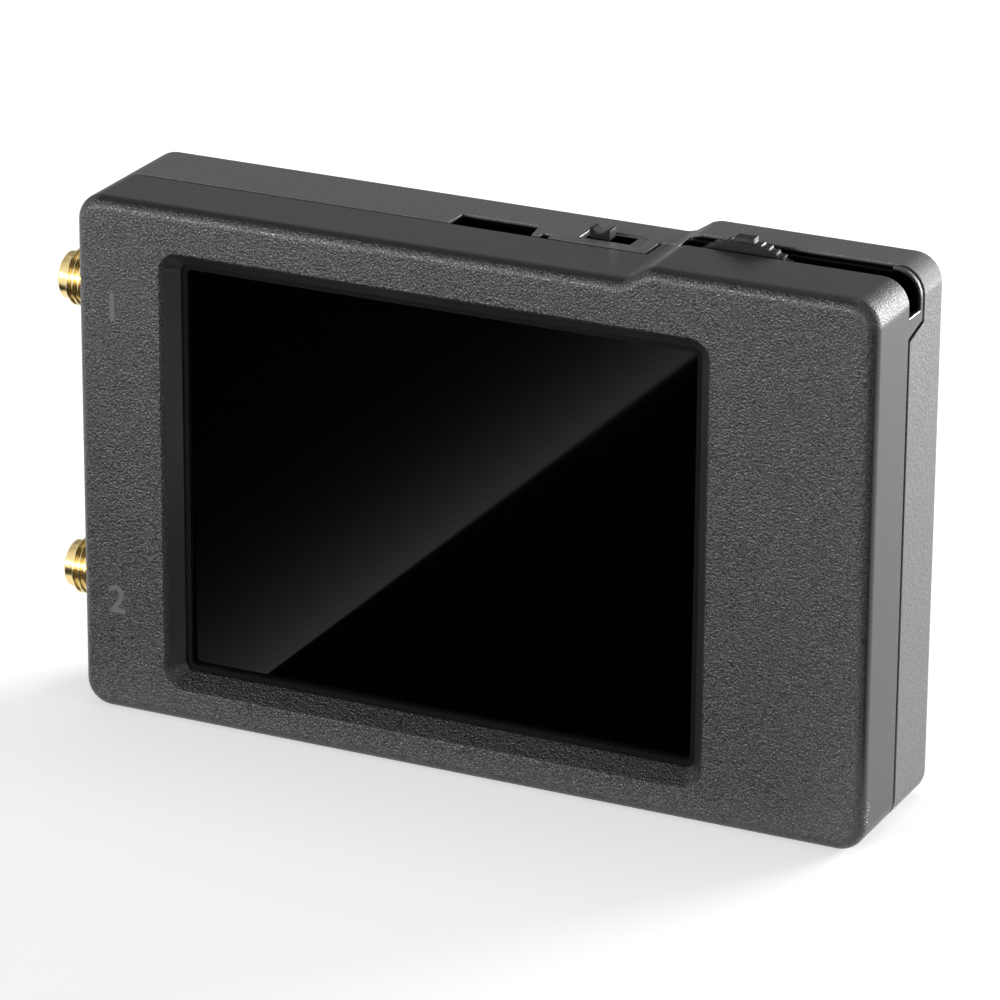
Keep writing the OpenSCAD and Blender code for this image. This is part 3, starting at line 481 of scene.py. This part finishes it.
def board_laminate(name, colour, copper):
    """Solder mask over copper tracks, with bare pads in a loose grid."""
    finish = new_finish(name)
    x, _, z = finish.axes(finish.place())
    warp = finish.noise(finish.place(), 0.12, 2, 0.5) * 6
    tracks = ((x + warp) * 0.9).math("PINGPONG", 1.0).below(0.3)
    lanes = ((z - warp) * 0.35).math("PINGPONG", 1.0).above(0.45)
    track = tracks * lanes
    pad_x = (x * 0.4).math("PINGPONG", 1.0).below(0.16)
    pad_z = (z * 0.4).math("PINGPONG", 1.0).below(0.16)
    pads = pad_x * pad_z
    mask = finish.blend(colour, lighter(colour, 2.0), track)
    shade = finish.blend(mask, copper, pads)
    return finish.surface(
        Base_Color=shade,
        Roughness=0.4 - pads * 0.1,
        Metallic=pads * 0.9,
        Normal=finish.bump(track + pads, COPPER_THICK),
    )


def ribbon_film(name, colour, copper):
    """Amber film over a row of thin copper lines."""
    finish = new_finish(name)
    _, _, z = finish.axes(finish.place())
    lines = (z * 4.0).math("PINGPONG", 1.0).below(0.5)
    shade = finish.blend(colour, copper, lines)
    return finish.surface(
        Base_Color=shade, Roughness=0.35 + lines * 0.05, Normal=finish.bump(lines, LINE_THICK)
    )


def cell_foil(name, colour):
    """Soft aluminium pouch with shallow creases."""
    finish = new_finish(name)
    creases = finish.noise(finish.place((1, 1, 0.5)), 0.35, 4, 0.55, 0.8)
    fine = finish.noise(finish.place(), 4.0, 2, 0.5)
    shade = finish.blend(lighter(colour, 0.85), lighter(colour, 1.1), creases)
    return finish.surface(
        Base_Color=shade,
        Roughness=fine * 0.12 + 0.3,
        Metallic=0.85,
        Normal=finish.bump(creases, CREASE_DEPTH),
    )


def gold_plating(name, colour, rough):
    """Gold plating over turned brass, with fine rings round the axis of the port."""
    finish = new_finish(name)
    rings = finish.noise(finish.place((9, 0.6, 0.6)), 1.2, 3, 0.6)
    cloud = finish.noise(finish.place(), 0.7, 3, 0.5)
    shade = finish.blend(colour, lighter(colour, 0.8), cloud)
    return finish.surface(
        Base_Color=shade,
        Roughness=rings * 0.12 + cloud * 0.06 + (rough - 0.08),
        Metallic=1.0,
        Normal=finish.bump(rings, RING_DEPTH),
    )


# ---------------------------------------------------------------- settings


def size(name, description, default, **limits):
    """A length in millimetres that a user may change."""
    return bpy.props.FloatProperty(
        name=name,
        description=f"{description}, in millimetres",
        default=default,
        precision=3,
        **limits,
    )


def tint(name, description, default):
    return bpy.props.FloatVectorProperty(
        name=name,
        description=description,
        default=default,
        subtype="COLOR",
        size=3,
        min=0.0,
        max=1.0,
    )


def share(name, description, default):
    return bpy.props.FloatProperty(
        name=name,
        description=description,
        default=default,
        min=0.0,
        max=1.0,
        subtype="FACTOR",
    )


def power(name, description, default):
    return bpy.props.FloatProperty(
        name=name, description=description, default=default, min=0.0, unit="POWER"
    )


class AnalyzerCaseSettings(bpy.types.PropertyGroup):
    """Sizes and colours of the two case shells."""

    edge: size("Edge", "Rounding of the case's sharp edges", 0.12, min=0.02, max=0.3)
    front_colour: tint("Front Colour", "Plastic of the front shell", (0.034, 0.034, 0.035))
    rear_colour: tint("Rear Colour", "Plastic of the rear shell", (0.1, 0.1, 0.101))
    front_grain: size("Front Grain", "Size of the front shell's grain", 0.25, min=0.1)
    rear_grain: size("Rear Grain", "Size of the rear shell's grain", 0.34, min=0.1)
    grain_depth: size("Grain Depth", "Depth of the grain", 0.045, min=0.0)
    mark_height: size("Mark Height", "Height of the port numerals", 3.2, min=1.0)
    mark_colour: tint("Mark Colour", "Ink of the port numerals", (0.125, 0.125, 0.127))


class AnalyzerScreenSettings(bpy.types.PropertyGroup):
    """Colours of the screen."""

    glass_colour: tint("Glass", "Colour behind the glass", (0.0004, 0.0004, 0.0004))
    glass_rough: share("Glass Roughness", "Roughness of the glass", 0.03)
    gasket_colour: tint("Gasket", "Foam round the glass", (0.003, 0.003, 0.003))


class AnalyzerPortSettings(bpy.types.PropertyGroup):
    """Finish of the coaxial ports."""

    gold: tint("Gold", "Plating of the ports", (1.0, 0.78, 0.36))
    gold_rough: share("Gold Roughness", "Roughness of the plating", 0.2)
    edge: size("Edge", "Rounding of the thread's edges", 0.03, min=0.0)


class AnalyzerControlSettings(bpy.types.PropertyGroup):
    """Finish of the power switch and the jog wheel."""

    knob_colour: tint("Knob", "Plastic of the switch knob", (0.006, 0.006, 0.006))
    wheel_colour: tint("Wheel", "Plastic of the jog wheel", (0.008, 0.008, 0.008))
    edge: size("Edge", "Rounding of the controls' edges", 0.045, min=0.0)


class AnalyzerStageSettings(bpy.types.PropertyGroup):
    """Floor and light of the studio."""

    floor_colour: tint("Floor", "Colour of the floor", (0.8, 0.8, 0.8))
    sky: share("Sky", "Strength of the even light", 0.22)
    key_power: power("Key Power", "Power of the main lamp", 12.0)
    side_power: power("Side Power", "Power of the side lamp", 16.5)
    lens: bpy.props.FloatProperty(
        name="Lens", description="Focal length", default=210.4, subtype="DISTANCE_CAMERA"
    )


# ---------------------------------------------------------------- pieces


class PieceOperator(bpy.types.Operator):
    """Shared start of the operators that finish one group of pieces."""

    bl_options = {"REGISTER", "UNDO"}


class ANALYZER_OT_front_case(PieceOperator):
    """Ease the edges of the front shell, sink the port numerals and give it grained plastic"""

    bl_idname = "analyzer.front_case"
    bl_label = "Front Case"

    def execute(self, context):
        settings = context.scene.analyzer_case
        plastic = front_plastic(
            "front_plastic",
            settings.front_colour,
            settings.front_grain,
            settings.grain_depth,
            rough=0.33,
            gloss=0.62,
        )
        shell = eased("front_shell", "front_case", settings.edge, soft=SHELL_CREASE)
        marks = [numeral(number, settings.mark_height) for number in PORTS]
        for mark in marks:
            use_modifier(
                shell, "BOOLEAN", operation="DIFFERENCE", object=mark, solver="EXACT"
            )
            sink_mark(mark)
        even(shell, SHELL_CREASE)
        settle(shell, "case", "front_plastic", plastic, "front_shell")
        ink = smooth_plastic("mark_ink", settings.mark_colour, rough=0.6, gloss=0.3)
        for mark in marks:
            settle(mark, "case", "front_plastic", ink)
        return {"FINISHED"}


PORTS = (1, 2)
# Depth of a numeral's bed and of the ink's face in it, its place beside the port, its extra
# line width, all in millimetres, and the type size for each millimetre of its height.
MARK_SINK = 0.06
MARK_FACE = 0.015
MARK_X = -41.6
MARK_BOLD = 0.07
TYPE_SIZE = 1.4


def numeral(number, height):
    """Upright solid numeral that cuts into the front face beside the port of that number."""
    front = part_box("front_shell")[0].y
    low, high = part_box(f"port_{number}_body")
    deselect()
    bpy.ops.object.text_add(location=(0, 0, 0))
    obj = bpy.context.object
    obj.data.body = str(number)
    obj.data.align_x = "CENTER"
    obj.data.align_y = "CENTER"
    obj.data.size = height * MM * TYPE_SIZE
    obj.data.extrude = MARK_SINK * MM
    obj.data.offset = MARK_BOLD * MM
    bpy.ops.object.convert(target="MESH")
    obj = bpy.context.object
    obj.rotation_euler = (math.pi / 2, 0, 0)
    obj.location = (MARK_X * MM, front, (low.z + high.z) / 2)
    freeze(obj, f"port_mark_{number}")
    bpy.ops.object.mode_set(mode="EDIT")
    bpy.ops.mesh.select_all(action="SELECT")
    bpy.ops.mesh.remove_doubles(threshold=MERGE_GAP / 2)
    bpy.ops.mesh.normals_make_consistent(inside=False)
    bpy.ops.object.mode_set(mode="OBJECT")
    return obj


def sink_mark(mark):
    """Thins a cutting numeral to the ink that lies in its sunk place."""
    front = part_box("front_shell")[0].y
    for vertex in mark.data.vertices:
        depth = MARK_FACE if vertex.co.y < front else MARK_SINK
        vertex.co.y = front + depth * MM


# Depth of the rear's grain as a share of the front's.
REAR_RELIEF = 0.5


class ANALYZER_OT_rear_case(PieceOperator):
    """Ease the edges of the rear shell and give it grained plastic"""

    bl_idname = "analyzer.rear_case"
    bl_label = "Rear Case"

    def execute(self, context):
        settings = context.scene.analyzer_case
        plastic = grained_plastic(
            "rear_plastic",
            settings.rear_colour,
            settings.rear_grain,
            settings.grain_depth * REAR_RELIEF,
            rough=0.42,
            gloss=0.55,
        )
        shell = eased("rear_shell", "rear_case", settings.edge, soft=SHELL_CREASE)
        settle(shell, "case", "rear_plastic", plastic, "rear_shell")
        return {"FINISHED"}


class ANALYZER_OT_screen(PieceOperator):
    """Give the screen's glass, gasket, display, guide, tray, ribbon and tape their finishes"""

    bl_idname = "analyzer.screen"
    bl_label = "Screen"

    def execute(self, context):
        settings = context.scene.analyzer_screen
        glass = black_glass("screen_glass", settings.glass_colour, settings.glass_rough)
        dress(["touch_panel"], glass)
        dress(["screen_gasket"], foam("gasket_foam", settings.gasket_colour, 0.25))
        dress(["lcd_panel"], black_glass("display_glass", (0.01, 0.01, 0.014), 0.06))
        dress(["light_guide"], smooth_plastic("guide_plastic", (0.8, 0.8, 0.78), 0.2))
        dress(["screen_tray"], metal("tray_metal", (0.6, 0.6, 0.61), 0.35, (0.2, 1, 3)))
        dress(
            ["screen_ribbon"],
            ribbon_film("ribbon_film", (0.5, 0.24, 0.05), (0.62, 0.3, 0.08)),
        )
        dress(["screen_tape"], foam("tape_foam", (0.7, 0.7, 0.66), 0.3))
        return {"FINISHED"}


def dress(nodes, material):
    """Gives CAD nodes a material and leaves their meshes as they are."""
    for name in nodes:
        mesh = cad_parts[name].data
        mesh.materials.clear()
        mesh.materials.append(material)


class ANALYZER_OT_ports(PieceOperator):
    """Ease the threads of the two coaxial ports and plate them with gold"""

    bl_idname = "analyzer.ports"
    bl_label = "Coaxial Ports"

    def execute(self, context):
        settings = context.scene.analyzer_ports
        gold = gold_plating("port_gold", settings.gold, settings.gold_rough)
        for number in PORTS:
            node = f"port_{number}_body"
            body = eased(node, f"port_{number}_plated", settings.edge, THREAD_CREASE)
            settle(body, "case", "port_gold", gold, node)
        dress(
            ["port_1_insulator", "port_2_insulator"],
            smooth_plastic("port_insulator", (0.85, 0.84, 0.79), 0.45),
        )
        dress(
            ["port_1_contact", "port_2_contact"],
            gold_plating("contact_gold", settings.gold, settings.gold_rough + 0.05),
        )
        return {"FINISHED"}


class ANALYZER_OT_controls(PieceOperator):
    """Ease the edges of the power switch's knob and of the jog wheel"""

    bl_idname = "analyzer.controls"
    bl_label = "Switch and Wheel"

    def execute(self, context):
        settings = context.scene.analyzer_controls
        knob = eased("switch_knob", "power_knob", settings.edge)
        settle(
            knob,
            "power_switch",
            "knob_plastic",
            smooth_plastic("knob_plastic", settings.knob_colour, rough=0.42, gloss=0.15),
            "switch_knob",
        )
        wheel = eased("jog_wheel", "toothed_wheel", settings.edge)
        settle(
            wheel,
            "jog_wheel",
            "wheel_plastic",
            smooth_plastic("wheel_plastic", settings.wheel_colour, rough=0.45, gloss=0.2),
            "jog_wheel",
        )
        steel = metal("switch_tin", (0.62, 0.62, 0.61), 0.34, (0.3, 1, 2))
        black = smooth_plastic("black_plastic", (0.012, 0.012, 0.012), 0.5)
        dress(["switch_frame", "jog_cover"], steel)
        dress(["switch_base", "jog_base"], black)
        dress(
            ["switch_terminals", "jog_terminals"],
            metal("terminal_tin", (0.72, 0.66, 0.5), 0.32),
        )
        dress(["jog_carriage"], smooth_plastic("white_plastic", (0.8, 0.8, 0.75), 0.5))
        dress(
            ["jog_push_spring", "jog_turn_spring"],
            metal("spring_steel", (0.68, 0.68, 0.66), 0.24),
        )
        return {"FINISHED"}


# Contact strips of the charging socket, in millimetres. The strips run along the tongue,
# between these two distances from its mouth, and stand out of it by their thickness.
STRIP_COUNT = 12
STRIP_PITCH = 0.5
STRIP_WIDTH = 0.25
STRIP_THICK = 0.03
STRIP_ENDS = (4.2, 0.5)
STRIP_EDGE = 0.02


class ANALYZER_OT_socket(PieceOperator):
    """Finish the charging socket, add its contact strips, and finish the status lights"""

    bl_idname = "analyzer.socket"
    bl_label = "Charging Socket and Lights"

    def execute(self, context):
        dress(["usb_shell"], metal("socket_steel", (0.66, 0.66, 0.66), 0.28, (3, 3, 0.3)))
        dress(["usb_tongue"], smooth_plastic("tongue_plastic", (0.02, 0.02, 0.02), 0.45))
        dress(
            ["status_lights"], smooth_plastic("light_plastic", (0.75, 0.84, 0.75), 0.2)
        )
        contacts = gold_plating("socket_gold", (0.82, 0.6, 0.26), 0.25)
        low, high = (Vector(corner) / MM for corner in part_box("usb_tongue"))
        row = STRIP_PITCH * (STRIP_COUNT - 1) + STRIP_WIDTH
        start = (low.x + high.x - row) / 2
        deep, shallow = (high.z - end for end in STRIP_ENDS)
        for side, y in (("front", low.y), ("rear", high.y)):
            strip = block(
                f"socket_contacts_{side}",
                (start, y - STRIP_THICK, deep),
                (start + STRIP_WIDTH, y + STRIP_THICK, shallow),
            )
            use_modifier(strip, "BEVEL", width=STRIP_EDGE * MM, segments=1)
            use_modifier(
                strip,
                "ARRAY",
                count=STRIP_COUNT,
                use_relative_offset=False,
                use_constant_offset=True,
                constant_offset_displace=(STRIP_PITCH * MM, 0, 0),
            )
            settle(strip, "case", "contact_gold", contacts)
        return {"FINISHED"}


class ANALYZER_OT_inside(PieceOperator):
    """Finish the case screws, the circuit board with its parts, and the battery"""

    bl_idname = "analyzer.inside"
    bl_label = "Board, Battery and Screws"

    def execute(self, context):
        dress(["case_screws"], metal("screw_steel", (0.12, 0.12, 0.125), 0.32))
        dress(
            ["main_board"],
            board_laminate("board_laminate", (0.012, 0.014, 0.016), (0.8, 0.56, 0.24)),
        )
        dress(
            ["shield_frame", "shield_lid"],
            metal("tinned_sheet", (0.62, 0.62, 0.6), 0.36, (1, 1, 0.3)),
        )
        dress(["board_chips"], smooth_plastic("chip_plastic", (0.02, 0.02, 0.022), 0.6))
        dress(
            ["board_parts"], smooth_plastic("part_ceramic", (0.42, 0.33, 0.22), 0.5)
        )
        dress(["clock_crystal"], metal("crystal_tin", (0.7, 0.7, 0.68), 0.25))
        dress(["battery_cell"], cell_foil("battery_foil", (0.6, 0.61, 0.63)))
        dress(["battery_pad"], foam("pad_foam", (0.75, 0.75, 0.72), 0.3))
        dress(
            ["battery_guard"],
            ribbon_film("guard_film", (0.6, 0.42, 0.06), (0.5, 0.34, 0.05)),
        )
        dress(
            ["battery_plug", "battery_jack"],
            smooth_plastic("plug_plastic", (0.84, 0.82, 0.72), 0.45),
        )
        dress(["battery_lead_red"], smooth_plastic("lead_red", (0.5, 0.02, 0.015), 0.45))
        dress(
            ["battery_lead_black"], smooth_plastic("lead_black", (0.01, 0.01, 0.01), 0.45)
        )
        return {"FINISHED"}


# ---------------------------------------------------------------- stage

WHITE = (1, 1, 1, 1)
# The photo's camera in the CAD frame: its place in millimetres, and its right and up.
CAMERA_SPOT = Vector((248.74, -523.40, 251.37)) * MM
CAMERA_RIGHT = Vector((0.90213693, 0.43141387, 0.00643513))
CAMERA_UP = Vector((-0.16021314, 0.32109346, 0.93341782))
SENSOR_WIDTH = 36
CLIP_RANGE = (0.01, 30)

# The floor's side in metres, and the share of its glow.
FLOOR_SIDE = 8
FLOOR_GLOW = 0.5
# The card that the glass mirrors: its sides and place, the x where its bright band ends, and
# the length over which the band fades, in millimetres, and the strength at its bright end.
BAND_CARD = (150, 170)
BAND_SPOT = (-38, -98, 0.4)
GLARE_EDGE = -31.4
GLARE_FADE = 8.2
GLARE_STRENGTH = 0.53
# Grey cards: place and aim, width and height, in millimetres, and strength.
GREY_CARDS = {
    "rear_card": ((-900, 1500, 760), (0, 0, 60), 3200, 1500, 0.34),
    "right_card": ((820, 1560, 1020), (0, 0, 60), 1150, 1000, 0.3),
    "low_card": ((235, -150, 0.5), (235, -150, 100), 340, 300, 0.0),
    "top_card": ((0, -100, 1200), (0, 0, 0), 2000, 2000, 0.02),
}
# Power of the weak lamp above, in watts.
TOP_POWER = 1.5


class ANALYZER_OT_stage(PieceOperator):
    """Build the floor, the cards that the surfaces mirror, the lamps and the camera"""

    bl_idname = "analyzer.stage"
    bl_label = "Studio"

    def execute(self, context):
        settings = context.scene.analyzer_stage
        white_world(settings.sky)
        deselect()
        bpy.ops.mesh.primitive_plane_add(size=FLOOR_SIDE, location=(0, 0, 0))
        floor = freeze(context.object, "studio_floor")
        floor.data.materials.append(floor_finish(settings.floor_colour))
        cards = [reflection_card()]
        cards += [grey_card(name, *values) for name, values in GREY_CARDS.items()]
        lamp("key_lamp", (-520, -1150, 240), (0, 0, 30), 1.0, 0.2, settings.key_power)
        lamp("side_lamp", (400, 740, 105), (46, 0, 25), 0.4, 0.19, settings.side_power)
        lamp("top_lamp", (60, 160, 900), (0, 0, 55), 0.5, 0.5, TOP_POWER)
        photo_camera(settings.lens)
        context.scene.view_settings.view_transform = "Standard"
        return {"FINISHED"}


def photo_camera(lens):
    """The scene's camera, where the photo was taken from."""
    data = bpy.data.cameras.new("photo_camera")
    data.sensor_width = SENSOR_WIDTH
    data.lens = lens
    data.clip_start, data.clip_end = CLIP_RANGE
    camera = bpy.data.objects.new("photo_camera", data)
    bpy.context.scene.collection.objects.link(camera)
    turn = Matrix((CAMERA_RIGHT, CAMERA_UP, CAMERA_RIGHT.cross(CAMERA_UP))).transposed()
    camera.matrix_world = Matrix.Translation(CAMERA_SPOT) @ turn.to_4x4()
    bpy.context.scene.camera = camera


def seen_directly(finish):
    """1 for camera, mirror and glass rays, and 0 for the rays that light the object."""
    total = None
    for name in ("Is Camera Ray", "Is Glossy Ray", "Is Transmission Ray"):
        ray = finish.node("ShaderNodeLightPath", output=name)
        total = ray if total is None else total + ray
    return total.clamped()


def white_world(sky):
    """A world that is white to the camera and mirrors, and lights with the strength of sky."""
    world = bpy.data.worlds.new("studio_world")
    bpy.context.scene.world = world
    finish = Finish(world)
    strength = seen_directly(finish) * (1 - sky) + sky
    back = finish.node("ShaderNodeBackground", None, {"Color": WHITE, "Strength": strength})
    finish.node("ShaderNodeOutputWorld", None, {"Surface": back})


def glow(finish, strength):
    """A shader that gives off white light."""
    return finish.node("ShaderNodeEmission", None, {"Color": WHITE, "Strength": strength})


def floor_finish(colour):
    """White paper with an even glow, so that the floor stays as bright as the background."""
    finish = new_finish("floor_paper")
    tone = finish.noise(finish.place(), 0.4, 2, 0.5)
    shade = finish.blend(colour, lighter(colour, 0.985), tone)
    paper = finish.node("ShaderNodeBsdfDiffuse", None, {"Color": shade})
    light = glow(finish, seen_directly(finish) * FLOOR_GLOW)
    both = finish.node("ShaderNodeAddShader", None, {0: paper, 1: light})
    finish.node("ShaderNodeOutputMaterial", None, {"Surface": both})
    return finish.owner


def reflection_card():
    """A low card that only mirrors see. It keeps the glass black but for one soft band."""
    deselect()
    bpy.ops.mesh.primitive_plane_add(size=1)
    card = bpy.context.object
    card.scale = (BAND_CARD[0] * MM, BAND_CARD[1] * MM, 1)
    card.location = Vector(BAND_SPOT) * MM
    freeze(card, "reflection_card")
    finish = new_finish("card_finish")
    x, _, _ = finish.axes(finish.place())
    band = ((x - GLARE_EDGE) / GLARE_FADE).math("EXPONENT") * x.below(GLARE_EDGE)
    return mirror_only(card, finish, band * GLARE_STRENGTH)


def mirror_only(card, finish, strength):
    """Gives a card a glow that only glossy rays meet."""
    finish.node("ShaderNodeOutputMaterial", None, {"Surface": glow(finish, strength)})
    card.data.materials.append(finish.owner)
    card.visible_camera = False
    card.visible_diffuse = False
    card.visible_shadow = False
    card.visible_transmission = False
    return card


def grey_card(name, spot, aim, width, height, strength):
    """A card of even grey that faces its aim, seen only in glossy surfaces."""
    deselect()
    bpy.ops.mesh.primitive_plane_add(size=1)
    card = bpy.context.object
    card.scale = (width * MM, height * MM, 1)
    spot, aim = Vector(spot) * MM, Vector(aim) * MM
    card.rotation_euler = (aim - spot).to_track_quat("Z", "Y").to_euler()
    card.location = spot
    freeze(card, name)
    return mirror_only(card, new_finish(f"{name}_finish"), strength)


def lamp(name, spot, aim, width, height, power):
    """A soft lamp from spot to aim, in millimetres, with sides in metres."""
    data = bpy.data.lights.new(name, "AREA")
    data.shape = "RECTANGLE"
    data.size = width
    data.size_y = height
    data.energy = power
    obj = bpy.data.objects.new(name, data)
    bpy.context.scene.collection.objects.link(obj)
    spot, aim = Vector(spot) * MM, Vector(aim) * MM
    turn = (aim - spot).to_track_quat("-Z", "Y").to_matrix().to_4x4()
    obj.matrix_world = Matrix.Translation(spot) @ turn


# ---------------------------------------------------------------- panel and start


class ANALYZER_PT_sidebar(bpy.types.Panel):
    """Lists the steps that build the analyzer's looks"""

    bl_label = "Antenna Analyzer"
    bl_idname = "ANALYZER_PT_sidebar"
    bl_space_type = "VIEW_3D"
    bl_region_type = "UI"
    bl_category = "Analyzer"

    def draw(self, context):
        layout = self.layout
        for prop, kind in SETTINGS.items():
            column = layout.column(align=True)
            group = getattr(context.scene, prop)
            for name in kind.__annotations__:
                column.prop(group, name)
        for operator in OPERATORS:
            layout.operator(operator.bl_idname)


SETTINGS = {
    "analyzer_case": AnalyzerCaseSettings,
    "analyzer_screen": AnalyzerScreenSettings,
    "analyzer_ports": AnalyzerPortSettings,
    "analyzer_controls": AnalyzerControlSettings,
    "analyzer_stage": AnalyzerStageSettings,
}
OPERATORS = (
    ANALYZER_OT_front_case,
    ANALYZER_OT_rear_case,
    ANALYZER_OT_screen,
    ANALYZER_OT_ports,
    ANALYZER_OT_controls,
    ANALYZER_OT_socket,
    ANALYZER_OT_inside,
    ANALYZER_OT_stage,
)


def register():
    for cls in (*SETTINGS.values(), *OPERATORS, ANALYZER_PT_sidebar):
        bpy.utils.register_class(cls)
    for prop, kind in SETTINGS.items():
        setattr(bpy.types.Scene, prop, bpy.props.PointerProperty(type=kind))


def unregister():
    for prop in SETTINGS:
        delattr(bpy.types.Scene, prop)
    for cls in (ANALYZER_PT_sidebar, *reversed(OPERATORS), *reversed(SETTINGS.values())):
        bpy.utils.unregister_class(cls)


def main():
    register()
    for operator in OPERATORS:
        group, name = operator.bl_idname.split(".")
        getattr(getattr(bpy.ops, group), name)()


if __name__ == "__main__":
    main()
